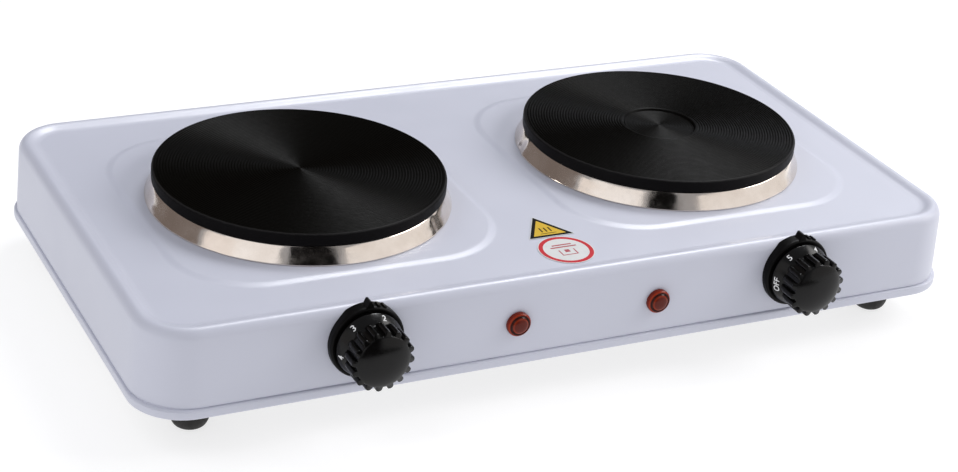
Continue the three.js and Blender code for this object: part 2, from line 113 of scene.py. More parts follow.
# ---- materials ----
LENS_RADIUS = 6.5
plate_low, plate_high = (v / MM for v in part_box("right_iron_plate"))
PLATE_RADIUS = (plate_high.x - plate_low.x) / 2
PLATE_X = (plate_high.x + plate_low.x) / 2      # how far the plates stand from the middle
RAGGED_EDGE = 0.7       # how far the border of the painted highlight band on the plates' rounded edge wanders, in millimetres
NOISE_ROUGHNESS = 0.55
PAINT_FROM, PAINT_TO = 0.35, 0.65               # the part of the noise over which a colour changes


class Finish:
    """A material on the Principled shader.

    Its pattern lies in the object's own coordinates, in millimetres.
    """

    def __init__(self, name, color, rough, metal=0.0, specular=0.5):
        self.material = bpy.data.materials.new(name)
        self.material.use_nodes = True
        self.tree = self.material.node_tree
        self.shader = self.tree.nodes["Principled BSDF"]
        self.color = (*color, 1)
        self.set("Base Color", self.color)
        self.set("Roughness", rough)
        self.set("Metallic", metal)
        self.set("Specular IOR Level", specular)
        where = self.node("ShaderNodeTexCoord")
        scale = self.node("ShaderNodeVectorMath", operation="SCALE")
        scale.inputs["Scale"].default_value = 1 / MM
        self.link(where.outputs["Object"], scale.inputs[0])
        self.place = scale.outputs[0]

    def set(self, socket, value):
        self.shader.inputs[socket].default_value = value

    def node(self, kind, **settings):
        node = self.tree.nodes.new(kind)
        for key, value in settings.items():
            setattr(node, key, value)
        return node

    def link(self, a, b):
        self.tree.links.new(a, b)

    def noise(self, size, detail, stretch=None):
        """Noise with features about size millimetres across."""
        place = self.place
        if stretch:
            mapping = self.node("ShaderNodeMapping")
            mapping.inputs["Scale"].default_value = stretch
            self.link(place, mapping.inputs["Vector"])
            place = mapping.outputs[0]
        noise = self.node("ShaderNodeTexNoise")
        noise.inputs["Scale"].default_value = 1 / size
        noise.inputs["Detail"].default_value = detail
        noise.inputs["Roughness"].default_value = NOISE_ROUGHNESS
        self.link(place, noise.inputs["Vector"])
        return noise.outputs["Fac"]

    def ramp(self, value, stops):
        """Colours by value. stops is a list of (position, colour)."""
        ramp = self.node("ShaderNodeValToRGB")
        band = ramp.color_ramp
        while len(band.elements) < len(stops):
            band.elements.new(0.5)
        for element, (position, color) in zip(band.elements, stops):
            element.position = position
            element.color = (*color, 1)
        self.link(value, ramp.inputs["Fac"])
        return ramp.outputs["Color"]

    def spread(self, value, low, high, source=(0.3, 0.7)):
        """value mapped from source onto low to high."""
        remap = self.node("ShaderNodeMapRange")
        remap.inputs["From Min"].default_value, remap.inputs["From Max"].default_value = source
        remap.inputs["To Min"].default_value, remap.inputs["To Max"].default_value = low, high
        self.link(value, remap.inputs["Value"])
        return remap.outputs[0]

    def math(self, operation, *values):
        node = self.node("ShaderNodeMath", operation=operation)
        for socket, value in zip(node.inputs, values):
            if isinstance(value, (int, float)):
                socket.default_value = value
            else:
                self.link(value, socket)
        return node.outputs[0]

    def radius(self, axis):
        """Distance from the object's own axis, in millimetres."""
        parts = self.node("ShaderNodeSeparateXYZ")
        self.link(self.place, parts.inputs[0])
        squares = [self.math("MULTIPLY", parts.outputs[i], parts.outputs[i])
                   for i in range(3) if i != axis]
        return self.math("SQRT", self.math("ADD", *squares))

    def paint(self, value, other):
        """Base colour varies towards other."""
        stops = [(PAINT_FROM, self.color[:3]), (PAINT_TO, other)]
        self.link(self.ramp(value, stops), self.shader.inputs["Base Color"])

    def wear(self, value, low, high):
        """Roughness varies from low to high."""
        self.link(self.spread(value, low, high), self.shader.inputs["Roughness"])

    def bump(self, value, depth):
        """Surface relief. depth is in millimetres."""
        bump = self.node("ShaderNodeBump")
        bump.inputs["Distance"].default_value = depth * MM
        bump.inputs["Strength"].default_value = 1.0
        self.link(value, bump.inputs["Height"])
        self.link(bump.outputs[0], self.shader.inputs["Normal"])


def enamel():
    f = Finish("white_enamel", (0.60, 0.613, 0.705), 0.42)
    f.paint(f.noise(90, 2), (0.59, 0.603, 0.692))
    f.wear(f.noise(25, 3), 0.38, 0.44)
    f.bump(f.noise(7, 2), 0.006)
    return f.material


def cast_iron(name, turning, gloss):
    """Blackened iron, turned on a lathe.

    turning is how far the fine tool marks stretch a reflection.
    """
    face, rim_highlight, side = (0.0024, 0.0021, 0.0016), (0.018, 0.017, 0.017), (0.0065, 0.006, 0.0062)
    f = Finish(name, face, 0.45, specular=gloss)
    # Painted highlight: a lighter band on the plate's rounded edge, where it catches the light;
    # noise makes its border wander.
    ragged = f.math("MULTIPLY_ADD", f.noise(2.5, 4), RAGGED_EDGE, -RAGGED_EDGE / 2)
    bands = [(0.0, face), (0.2, face), (0.42, rim_highlight), (0.6, rim_highlight), (0.85, side), (1.0, side)]
    edge = (PLATE_RADIUS - 1.6, PLATE_RADIUS + 0.1)
    reach = f.spread(f.math("ADD", f.radius(2), ragged), 0.0, 1.0, edge)
    f.link(f.ramp(reach, bands), f.shader.inputs["Base Color"])
    f.wear(f.noise(3, 6), 0.40, 0.52)
    f.set("Anisotropic", turning)
    f.set("Anisotropic Rotation", 0.25)
    tangent = f.node("ShaderNodeTangent", direction_type="RADIAL", axis="Z")
    f.link(tangent.outputs[0], f.shader.inputs["Tangent"])
    f.bump(f.noise(0.7, 3), 0.05)
    return f.material


def stainless():
    f = Finish("stainless_skirt", (0.84, 0.775, 0.71), 0.12, metal=1.0)
    f.paint(f.noise(18, 4), (0.74, 0.665, 0.595))
    f.wear(f.noise(6, 5), 0.07, 0.2)
    f.bump(f.noise(3.5, 3, stretch=(1, 1, 0.15)), 0.02)
    return f.material


def zinc_steel():
    f = Finish("zinc_steel", (0.42, 0.42, 0.43), 0.38, metal=0.9)
    f.paint(f.noise(7, 5), (0.34, 0.34, 0.36))
    f.wear(f.noise(2.5, 5), 0.3, 0.5)
    f.bump(f.noise(0.6, 3), 0.01)
    return f.material


def black_plastic(name, rough, specular):
    f = Finish(name, (0.0018, 0.0016, 0.0016), rough, specular=specular)
    f.paint(f.noise(5, 3), (0.003, 0.0027, 0.0027))
    f.wear(f.noise(2, 4), rough - 0.04, rough + 0.05)
    f.bump(f.noise(0.5, 2), 0.004)
    return f.material


def black_rubber():
    f = Finish("black_rubber", (0.010, 0.0095, 0.009), 0.55, specular=0.35)
    f.paint(f.noise(4, 4), (0.018, 0.017, 0.016))
    f.wear(f.noise(2, 4), 0.45, 0.7)
    f.bump(f.noise(0.4, 3), 0.02)
    return f.material


def red_lens():
    f = Finish("red_lens", (0.13, 0.012, 0.007), 0.14, specular=0.18)
    # Painted shade and highlights: the ring groove round the crown is darkened, and the crown's
    # edge and the outer shoulder beside it are lightened.
    groove = (0.030, 0.004, 0.002)
    bands = [(0.0, (0.10, 0.012, 0.006)), (0.52, (0.11, 0.012, 0.006)),
             (0.62, (0.26, 0.028, 0.008)), (0.70, groove), (0.82, groove),
             (0.93, (0.33, 0.032, 0.008)), (1.0, (0.16, 0.013, 0.005))]
    share = f.math("DIVIDE", f.radius(1), LENS_RADIUS)
    f.link(f.ramp(share, bands), f.shader.inputs["Base Color"])
    f.wear(f.noise(1.5, 3), 0.08, 0.2)
    f.bump(f.noise(0.8, 2), 0.01)
    return f.material


def ceramic():
    f = Finish("white_ceramic", (0.62, 0.58, 0.50), 0.5)
    f.paint(f.noise(5, 5), (0.52, 0.48, 0.41))
    f.wear(f.noise(3, 4), 0.42, 0.65)
    f.bump(f.noise(0.7, 4), 0.03)
    return f.material


def cement():
    f = Finish("magnesia_cement", (0.30, 0.28, 0.25), 0.9, specular=0.2)
    f.paint(f.noise(6, 6), (0.20, 0.185, 0.165))
    f.wear(f.noise(3, 4), 0.8, 0.95)
    f.bump(f.noise(0.9, 6), 0.12)
    return f.material


def sleeve(name, color):
    f = Finish(name, color, 0.5, specular=0.4)
    f.paint(f.noise(4, 4), tuple(c * 0.7 for c in color))
    f.wear(f.noise(2, 4), 0.42, 0.6)
    f.bump(f.noise(0.5, 3), 0.02)
    return f.material


def print_foil(name, color, specular=0.25):
    f = Finish(name, color, 0.4, specular=specular)
    f.paint(f.noise(6, 3), tuple(c * 0.93 for c in color))
    f.wear(f.noise(3, 3), 0.36, 0.46)
    f.bump(f.noise(5, 2), 0.01)
    return f.material


ENAMEL = enamel()
IRON = {
    "left": cast_iron("cast_iron_fine", 0.9, 0.033),
    "right": cast_iron("cast_iron_coarse", 0.9, 0.05),
}
STAINLESS = stainless()
ZINC = zinc_steel()
PLASTIC = black_plastic("black_plastic", 0.2, 0.22)
DULL_PLASTIC = black_plastic("dull_black_plastic", 0.4, 0.09)
RUBBER = black_rubber()
LENS = red_lens()
CERAMIC = ceramic()
CEMENT = cement()
MARKING = print_foil("white_marking", (0.82, 0.82, 0.82))
YELLOW = print_foil("yellow_print", (0.72, 0.46, 0.016))
BLACK_PRINT = print_foil("black_print", (0.003, 0.003, 0.003), 0.08)
WHITE_PRINT = print_foil("white_print", (0.74, 0.75, 0.74))
RED_PRINT = print_foil("red_print", (0.60, 0.006, 0.018))
PINK_PRINT = print_foil("faded_print", (0.46, 0.08, 0.10))


# ---- meshes ----
class Skin:
    """Rings of points joined into a closed skin, in millimetres from the piece's origin."""

    def __init__(self):
        self.points = []
        self.faces = []
        self.tones = []

    def ring(self, points):
        start = len(self.points)
        self.points.extend(points)
        return list(range(start, len(self.points)))

    def face(self, corners, tone=0):
        self.faces.append(tuple(corners))
        self.tones.append(tone)

    def bridge(self, a, b, tone=0):
        """Quads between two rings; a ring of one point makes a fan."""
        count = max(len(a), len(b))
        for i in range(count):
            j = (i + 1) % count
            corners = [a[i % len(a)], a[j % len(a)], b[j % len(b)], b[i % len(b)]]
            self.face(dict.fromkeys(corners), tone)

    def loft(self, rings, closed=False, tones=None):
        pairs = list(zip(rings, rings[1:] + rings[:1] if closed else rings[1:]))
        for i, (a, b) in enumerate(pairs):
            self.bridge(a, b, tones[i] if tones else 0)


def skin_mesh(name, skin):
    """Mesh of the skin in metres, its faces all facing out."""
    mesh = bpy.data.meshes.new(name)
    mesh.from_pydata([tuple(c * MM for c in p) for p in skin.points], [], skin.faces)
    mesh.polygons.foreach_set("material_index", skin.tones)
    bm = bmesh.new()
    bm.from_mesh(mesh)
    bmesh.ops.recalc_face_normals(bm, faces=bm.faces)
    bm.to_mesh(mesh)
    bm.free()
    return mesh


def piece(name, skin, materials, body, replaces, origin, sharp=SHARP):
    """Makes the object. materials is one, or a list by the skin's tones."""
    mesh = skin_mesh(name, skin)
    for material in materials if isinstance(materials, list) else [materials]:
        mesh.materials.append(material)
    mesh.shade_smooth()
    mesh.set_sharp_from_angle(angle=math.radians(sharp))
    obj = bpy.data.objects.new(name, mesh)
    scene.collection.objects.link(obj)
    obj.location = origin
    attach(obj, body)
    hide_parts(replaces)
    return obj


def finished_mesh(obj):
    """Mesh of obj with its modifiers applied, or of a text object."""
    return bpy.data.meshes.new_from_object(obj.evaluated_get(bpy.context.evaluated_depsgraph_get()))


def softened(points, steps=4):
    """Profile with rounded corners.

    A point is (a, b), or (a, b, cut) where the corner is rounded from cut away.
    """
    out = []
    for i, point in enumerate(points):
        here = np.array(point[:2], float)
        if len(point) < 3 or i in (0, len(points) - 1):
            out.append(tuple(here))
            continue
        before, after = (np.array(points[i + k][:2], float) for k in (-1, 1))
        start = here + (before - here) * min(0.5, point[2] / np.linalg.norm(before - here))
        end = here + (after - here) * min(0.5, point[2] / np.linalg.norm(after - here))
        for t in np.linspace(0, 1, steps + 1):
            out.append(tuple((1 - t) ** 2 * start + 2 * t * (1 - t) * here + t * t * end))
    return out


def flowing(points, steps=5):
    """Smooth curve through the points."""
    p = np.array([points[0], *points, points[-1]], float)
    out = [tuple(p[1])]
    for i in range(1, len(p) - 2):
        for t in np.linspace(0, 1, steps + 1)[1:]:
            a, b, c, d = p[i - 1:i + 3]
            out.append(tuple(0.5 * (2 * b + (c - a) * t + (2 * a - 5 * b + 4 * c - d) * t ** 2
                                    + (3 * b - a - 3 * c + d) * t ** 3)))
    return out


def upright(radius, height, angle):
    return radius * math.cos(angle), radius * math.sin(angle), height


def frontal(radius, reach, angle):
    """Angle is anticlockwise from the top, seen from the front."""
    return -radius * math.sin(angle), -reach, radius * math.cos(angle)


def turned(profile, segments, place=upright, swell=None, closed=False):
    """Turned piece.

    segments is a count or a list of angles. swell(radius, height, angle) moves a point.
    """
    angles = segments
    if isinstance(segments, int):
        angles = [2 * math.pi * i / segments for i in range(segments)]
    skin = Skin()
    rings = []
    for radius, height in profile:
        if radius < 1e-6:
            rings.append(skin.ring([place(0, height, 0)]))
            continue
        points = []
        for angle in angles:
            r, h = swell(radius, height, angle) if swell else (radius, height)
            points.append(place(r, h, angle))
        rings.append(skin.ring(points))
    skin.loft(rings, closed)
    return skin


def carve(obj, cutters):
    """Cuts closed skins, in the object's own millimetres, out of obj."""
    made = []
    for i, skin in enumerate(cutters):
        cutter = bpy.data.objects.new(f"cutter_{i}", skin_mesh("cutter", skin))
        scene.collection.objects.link(cutter)
        cutter.matrix_world = obj.matrix_world
        made.append(cutter)
        modifier = obj.modifiers.new("cut", "BOOLEAN")
        modifier.operation = "DIFFERENCE"
        modifier.solver = "EXACT"
        modifier.object = cutter
    bpy.context.view_layer.update()
    mesh = finished_mesh(obj)
    obj.modifiers.clear()
    obj.data = mesh
    mesh.shade_smooth()
    mesh.set_sharp_from_angle(angle=math.radians(SHARP))
    for cutter in made:
        bpy.data.objects.remove(cutter)


def box_skin(low, high):
    skin = Skin()
    corners = [(low[0], low[1]), (high[0], low[1]), (high[0], high[1]), (low[0], high[1])]
    bottom = skin.ring([(x, y, low[2]) for x, y in corners])
    top = skin.ring([(x, y, high[2]) for x, y in corners])
    skin.face(bottom[::-1])
    skin.bridge(bottom, top)
    skin.face(top)
    return skin


def hole_rod(radius, segments, x, y, z):
    """Cutter for a hole through a wall, along y."""
    rod = turned([(0, -8), (radius, -8), (radius, 4), (0, 4)], segments, frontal)
    rod.points = [(px + x, py + y, pz + z) for px, py, pz in rod.points]
    return rod


# ---- floor ----
floor_finish = Finish("pale_floor", (0.36, 0.36, 0.365), 0.7, specular=0.2)
floor_finish.paint(floor_finish.noise(400, 2), (0.35, 0.35, 0.356))
floor_finish.set("Emission Color", (1, 1, 1, 1))
floor_finish.set("Emission Strength", 0.74)
floor_mesh = bpy.data.meshes.new("floor")
FLOOR_HALF = 6
floor_corners = [(-FLOOR_HALF, -FLOOR_HALF, 0), (FLOOR_HALF, -FLOOR_HALF, 0),
                 (FLOOR_HALF, FLOOR_HALF, 0), (-FLOOR_HALF, FLOOR_HALF, 0)]
floor_mesh.from_pydata(floor_corners, [], [(0, 1, 2, 3)])
floor_mesh.materials.append(floor_finish.material)
floor = bpy.data.objects.new("floor", floor_mesh)
scene.collection.objects.link(floor)


def reflected_card(name, corners, color):
    """Part of the room round the object, seen only as a reflection in its polished parts."""
    mesh = bpy.data.meshes.new(name)
    mesh.from_pydata(corners, [], [(0, 1, 2, 3)])
    finish = Finish(name, (0, 0, 0), 1.0, specular=0.0)
    finish.set("Emission Color", (*color, 1))
    finish.set("Emission Strength", 1.0)
    mesh.materials.append(finish.material)
    card = bpy.data.objects.new(name, mesh)
    scene.collection.objects.link(card)
    card.visible_camera = False
    card.visible_diffuse = False
    card.visible_shadow = False


def upright_card(name, start, end, low, high, color):
    """Card from start to end in plan and from low to high."""
    reflected_card(name, [(*start, low), (*end, low), (*end, high), (*start, high)], color)


DARK = (0.004, 0.004, 0.004)
upright_card("dark_figure", (-0.84, -1.41), (-0.03, -0.66), 0.02, 1.5, DARK)
upright_card("dark_back", (-1.25, 2.65), (1.70, 2.40), 0.02, 2.9, (0.006, 0.006, 0.006))
upright_card("pale_back", (1.45, 1.90), (2.30, 0.75), 0.10, 1.35, (0.85, 0.88, 0.95))
upright_card("brown_wall", (-2.0, 0.25), (-0.6, 2.05), 0.02, 1.8, (0.20, 0.17, 0.16))
upright_card("pale_left", (-1.60, 0.08), (-1.60, -0.60), 0.02, 0.9, (0.95, 0.90, 0.88))
upright_card("pale_right", (0.35, -1.85), (2.00, 0.30), 0.02, 1.1, (0.92, 0.89, 0.88))
reflected_card("dark_front", [(-0.9, -1.5, 0.004), (0.25, -1.5, 0.004), (0.25, -0.36, 0.004),
                              (-0.9, -0.36, 0.004)], DARK)
reflected_card("window", [(1.36, 1.94, 3.0), (2.36, 0.96, 3.0), (1.95, 0.52, 3.6),
                          (0.95, 1.50, 3.6)], (31, 31.5, 32))


# ---- housing ----
house_low, house_high = (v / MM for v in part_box("top_housing"))
house_mid = (house_low + house_high) / 2
HALF_X, HALF_Y = house_high.x - house_mid.x, house_high.y - house_mid.y
FRONT = house_low.y
HOUSE_BOTTOM = 9.8
DATUM = house_low.z - HOUSE_BOTTOM      # plane that the heights below are measured from
CORNER = 30
DECK = 53.8
PLATEAU = 54.8          # height of the pressed fields that the plates stand on
SHEET = 1.0
HOLE = 50               # radius of the hole under a plate
PLATEAU_HALF, PLATEAU_RADIUS, PLATEAU_SLOPE = 90, 45, 5.0
APRON = 0.6             # flat band beside the plateau's slope, below and above it
BEAD_TOP = 15.3         # the rolled edge turns its corners tighter below this height
BEAD_TUCK, BEAD_RUN = 2.2, 1.2

bead = softened([(2.4, HOUSE_BOTTOM), (0, HOUSE_BOTTOM, 1.6), (0, 15.0, 1.5), (1.7, 15.05),
                 (1.15, 15.7, 0.25), (1.15, 16.6)])
wall = [(1.3, 22), (1.62, 29), (1.94, 36), (2.26, 43)]
CREST_INSET = 7.2
rim = flowing([(2.6, 50.5), (2.95, 52.3), (3.9, 54.1), (5.4, 55.5), (CREST_INSET, 56.0),
               (9.2, 55.55), (12.0, 54.25), (14.5, DECK)])
outer_profile = bead + wall + rim + [(15.2, DECK)]
inner_profile = [(2.4, 10.9), (1.2, 11.3), (1.2, 14), (2.2, 16.4), (3.65, 50), (4.7, 53.1),
                 (6.3, 54.5), (8.4, 54.6), (11.6, 53.4), (14.6, DECK - SHEET),
                 (15.2, DECK - SHEET)]


def inset_at(height):
    """How far the wall, or the rim up to its crest, stands in from the foremost edge."""
    rising = [(z, inset) for inset, z in wall + rim if inset <= CREST_INSET]
    return float(np.interp(height, [z for z, _ in rising], [i for _, i in rising]))


def outline(half_x, half_y, radius, height, corner=14, along=(12, 8)):
    """Rounded rectangle about the origin, anticlockwise from where its right side ends.

    corner is the number of steps round a corner, along the steps on the two kinds of side.
    """
    points = []
    for quarter, (sx, sy) in enumerate([(1, 1), (-1, 1), (-1, -1), (1, -1)]):
        middle_x, middle_y = sx * (half_x - radius), sy * (half_y - radius)
        for i in range(corner + 1):
            angle = (quarter + i / corner) * math.pi / 2
            points.append((middle_x + radius * math.cos(angle),
                           middle_y + radius * math.sin(angle), height))
        steps = along[quarter % 2]
        nx, ny = [(-1, 1), (-1, -1), (1, -1), (1, 1)][quarter]
        angle = (quarter + 1) * math.pi / 2
        start = np.array(points[-1][:2])
        end = np.array((nx * (half_x - radius) + radius * math.cos(angle),
                        ny * (half_y - radius) + radius * math.sin(angle)))
        for k in range(1, steps):
            x, y = start + (end - start) * k / steps
            points.append((x, y, height))
    return points


def in_plateau(x, y):
    """Whether the point lies on one of the two plateaus or its lower apron."""
    half, radius = PLATEAU_HALF + APRON, PLATEAU_RADIUS + APRON
    for _, side in SIDES:
        dx = max(abs(x - side * PLATE_X) - half + radius, 0)
        dy = max(abs(y) - half + radius, 0)
        if math.hypot(dx, dy) < radius:
            return True
    return False


def house_outline(inset, z):
    radius = CORNER - inset
    if z < BEAD_TOP:
        radius -= BEAD_TUCK * min(1, (BEAD_TOP - z) / BEAD_RUN)
    return outline(HALF_X - inset, HALF_Y - inset, radius, z)


def plateau_ring(side, inset, z):
    """Outline of a plateau, drawn in by inset from the foot of its slope."""
    half = PLATEAU_HALF - inset
    points = outline(half, half, PLATEAU_RADIUS - inset, z, 12, (6, 6))
    return [(x + side * PLATE_X, y, height) for x, y, height in points]


def deck_side(skin, drop, rim_ring):
    """Flat deck, the two pressed plateaus and the edges of the plate holes.

    drop is how far this side of the sheet lies below the upper one. Returns the hole rings.
    """
    holes = []
    loops = [rim_ring]
    for _, side in SIDES:
        rings = [plateau_ring(side, -APRON, DECK - drop)]
        for t in np.linspace(0, 1, 9):
            rise = (PLATEAU - DECK) * (t * t * (3 - 2 * t))
            rings.append(plateau_ring(side, t * PLATEAU_SLOPE, DECK - drop + rise))
        circle = []
        for x, y, _ in rings[-1]:
            angle = math.atan2(y, x - side * PLATE_X)
            circle.append((side * PLATE_X + HOLE * math.cos(angle), HOLE * math.sin(angle),
                           PLATEAU - drop))
        rings += [plateau_ring(side, PLATEAU_SLOPE + APRON, PLATEAU - drop), circle]
        made = [skin.ring(r) for r in rings]
        skin.loft(made)
        loops.append(made[0])
        holes.append(made[-1])
    ids = [i for loop in loops for i in loop]
    flat = [Vector(skin.points[i][:2]) for i in ids]
    edges, start = [], 0
    for loop in loops:
        edges += [(start + k, start + (k + 1) % len(loop)) for k in range(len(loop))]
        start += len(loop)
    found = delaunay_2d_cdt(flat, edges, [], 1, 1e-5)
    for corner_ids in found[2]:
        corners = [ids[found[3][k][0]] for k in corner_ids]
        x, y = (sum(skin.points[i][a] for i in corners) / 3 for a in (0, 1))
        if not in_plateau(x, y):
            skin.face(corners)
    return holes


house = Skin()
outer_rings = [house.ring(house_outline(*level)) for level in outer_profile]
inner_rings = [house.ring(house_outline(*level)) for level in inner_profile]
house.loft(outer_rings)
house.loft(inner_rings)
house.bridge(inner_rings[0], outer_rings[0])
upper_holes = deck_side(house, 0, outer_rings[-1])
lower_holes = deck_side(house, SHEET, inner_rings[-1])
for upper, lower in zip(upper_holes, lower_holes):
    house.bridge(upper, lower)
housing = piece("housing_shell", house, ENAMEL, "root", "top_housing",
                Vector((house_mid.x, house_mid.y, DATUM)) * MM)

SHAFT_HOLE, LAMP_HOLE, SCREW_HOLE, INLET_HOLE = 5.6, 5.1, 2.3, 7
SCREW_OFFSET = 14       # of a thermostat's screws, to either side of its shaft
holes = []
for name, _ in SIDES:
    knob_at = joint_at[f"{name}_knob_turn"] / MM
    lamp_low, lamp_high = (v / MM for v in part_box(f"{name}_lamp_lens"))
    lamp_x, lamp_z = (lamp_low.x + lamp_high.x) / 2, (lamp_low.z + lamp_high.z) / 2
    for x, z, radius in [(knob_at.x, knob_at.z, SHAFT_HOLE), (lamp_x, lamp_z, LAMP_HOLE),
                         (knob_at.x - SCREW_OFFSET, knob_at.z, SCREW_HOLE),
                         (knob_at.x + SCREW_OFFSET, knob_at.z, SCREW_HOLE)]:
        holes.append(hole_rod(radius, 32, x - house_mid.x, FRONT - house_mid.y, z - DATUM))
grommet_low, grommet_high = (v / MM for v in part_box("cord_grommet"))
grommet_z = (grommet_low.z + grommet_high.z) / 2
holes.append(hole_rod(INLET_HOLE, 48, 0, house_high.y - house_mid.y, grommet_z - DATUM))
carve(housing, holes)


# ---- plates and skirts ----
PITCH = 1.55            # of the turned grooves
GROOVES = {"left": (0.2, 0.6), "right": (0.36, 2.1)}       # depth and lean
CENTRE = 1.6            # radius where the grooves start
CHAMFER = 1.6           # from where the grooves end to the plate's edge
RECESS_DEPTH = 1.0
SMOOTH = 40             # degrees, for turned pieces with fine steps
DENTS = {               # angle and width in degrees, depth in millimetres
    "left": [(-76, 0.5, 0.22), (-74.6, 0.5, -0.12), (-48, 3, 0.3), (-52, 2, -0.2), (-143, 2, 0.12)],
    "right": [(-76, 0.5, 0.22), (-74.6, 0.5, -0.12), (166, 4, 0.45), (171, 2.5, -0.3),
              (-143, 2, 0.12)],
}


def grooves(start, end, depth, top, lean=1.0):
    """Turned face from radius start to end, with shallow rounded grooves.

    They are steeper on their inner flank where lean is under 1, on their outer flank above 1.
    """
    steps = 8
    count = round((end - start) / PITCH)
    out = []
    for i in range(count * steps + 1):
        share = ((i % steps) / steps) ** lean
        sink = depth * (0.5 - 0.5 * math.cos(2 * math.pi * share))
        out.append((start + (end - start) * i / (count * steps), top - sink))
    return out


def plain_face(radius, top, depth, lean):
    return [(0, top - 0.05)] + grooves(CENTRE, radius - CHAMFER, depth, top, lean)


def recessed_face(radius, top, depth, lean):
    """Face with a shallow round recess in the middle and a fine trench round its floor."""
    floor_z = top - RECESS_DEPTH
    face = [(0, floor_z - 0.05)] + grooves(CENTRE, 19.4, 0.06, floor_z)
    face += softened([(19.6, floor_z), (19.9, top - 1.35, 0.2), (20.2, top - 1.3, 0.2),
                      (20.7, top - 0.05, 0.3), (21.6, top)], 3)
    return face + grooves(21.8, radius - CHAMFER, depth, top, lean)


def plate_edge(radius, top):
    """From the plate's rounded edge round its ledge and the hollow underside to the axis."""
    ledge = top - 6.6
    return softened([(radius - 1.4, top), (radius - 0.75, top, 0.35), (radius, top - 0.9, 0.45),
                     (radius, ledge + 0.5, 0.3), (radius - 0.6, ledge, 0.3), (radius - 6, ledge),
                     (radius - 6.5, 58.6), (radius - 11.5, 58.6), (radius - 11.5, 65.2),
                     (10, 65.2), (9.5, 57.6), (3.3, 57.6), (3.3, 64.0), (0, 64.0)], 3)


def skirt_profile(foot, low_z, top_z, plate_radius):
    """Skirt from its foot up the slope, in under the plate, and back down its inner side."""
    slope = [(foot - 0.1, low_z, 0.2), (foot, low_z + 0.5, 0.4), (foot - 1.2, low_z + 2.6),
             (foot - 2.4, low_z + 4.9), (foot - 3.5, low_z + 7.2), (foot - 4.6, top_z, 0.7),
             (plate_radius - 5.2, top_z)]
    return softened(slope, 4) + [(plate_radius - 5.2, top_z - 0.6), (foot - 5.1, top_z - 0.6),
                                 (foot - 0.9, low_z + 0.5), (foot - 0.7, low_z)]


def skirt_swell(dents):
    """Slight waves of the thin sheet, and its dents."""
    def swell(radius, height, angle):
        wave = 0.07 * math.sin(5 * angle + 1) + 0.05 * math.sin(9 * angle + height * 0.3)
        wave += 0.025 * math.sin(23 * angle)
        for at, width, depth in dents:
            off = math.remainder(angle - math.radians(at), 2 * math.pi) / math.radians(width)
            wave -= depth * math.exp(-off * off)
        return radius + wave, height
    return swell


for name, _ in SIDES:
    low, high = (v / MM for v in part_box(f"{name}_iron_plate"))
    radius, top = (high.x - low.x) / 2, high.z - DATUM
    at = Vector(((low.x + high.x) / 2, (low.y + high.y) / 2, DATUM)) * MM
    make_face = plain_face if name == "left" else recessed_face
    plate = turned(make_face(radius, top, *GROOVES[name]) + plate_edge(radius, top), 176)
    piece(f"{name}_turned_plate", plate, IRON[name], "root", f"{name}_iron_plate",
          at, SMOOTH)

    low, high = (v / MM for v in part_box(f"{name}_skirt_ring"))
    profile = skirt_profile((high.x - low.x) / 2, low.z - DATUM, high.z - DATUM, radius)
    skirt = turned(profile, 240, swell=skirt_swell(DENTS[name]), closed=True)
    piece(f"{name}_skirt", skirt, STAINLESS, "root", f"{name}_skirt_ring",
          at, SMOOTH)


# ---- knobs ----
RIBS = 16
RIB_HEIGHT = 2.5
RIB_HALF = 0.30         # half a rib's width, as a share of the pitch
VALLEY = 13.9           # radius between the ribs
RIB_BACK, RIB_FRONT = 9.4, 21.4
CONE = ((17.1, 4.5), (15.1, 8.7))
LABELS = ("OFF", "1", "2", "3", "4", "5")
LABEL_STEP = 60
LABEL_SIZE = 4.7
LABEL_SLICE = 0.5       # width of the strips that let a label bend round the cone
LABEL_THICK, LABEL_LIFT = 0.14, 0.10
# where OFF stands at rest, in degrees anticlockwise from the pointer
REST_LABEL = {"left": -20 - 2 * LABEL_STEP, "right": 39 - 5 * LABEL_STEP}


def knob_profile(reach):
    """From the bore for the shaft, round the flange and the cone, to the crowned face."""
    back = [(0, 15.3), (3.3, 15.3), (3.3, 2.8), (16.7, 2.8), (17.2, 3.3, 0.3), (17.2, 4.3, 0.2),
            *CONE]
    heights = (10.6, 11.6, 14, 17, 19.6, 20.2, 20.6, 20.9)
    grip = [(14.3, 9.6, 0.6)] + [(VALLEY, height) for height in heights]
    crown = [(13.75, 21.3), (13.2, 21.75), (11.5, 22.6), (9, 23.45), (6, 24.1), (3, 24.42),
             (0, reach)]
    return softened(back + grip, 3) + flowing(crown, 4)


def rib_angles(turn):
    """Where the knob's outline has its points: closest at the flanks of the ribs."""
    flank = [RIB_HALF * share for share in (0.55, 0.78, 0.92, 1.0, 1.08, 1.25)]
    shares = [-0.5, -0.42] + [-share for share in flank[::-1]] + [0] + flank + [0.42]
    return [turn + (i + share) * 2 * math.pi / RIBS for i in range(RIBS) for share in shares]


def rib_swell(turn):
    """Rounded ribs with a short slope at the front end, which run out on the cone."""
    def swell(radius, height, angle):
        if not RIB_BACK < height < RIB_FRONT or radius < VALLEY - 0.1:
            return radius, height
        share = math.remainder((angle - turn) * RIBS / (2 * math.pi), 1)
        tooth = max(0, 1 - abs(share / RIB_HALF) ** 3) ** 0.5
        rise = min(1, (height - RIB_BACK) / 1.5)
        fall = min(1, (RIB_FRONT - height) / 0.7) ** 0.5
        return radius + RIB_HEIGHT * tooth * rise * fall, height
    return swell


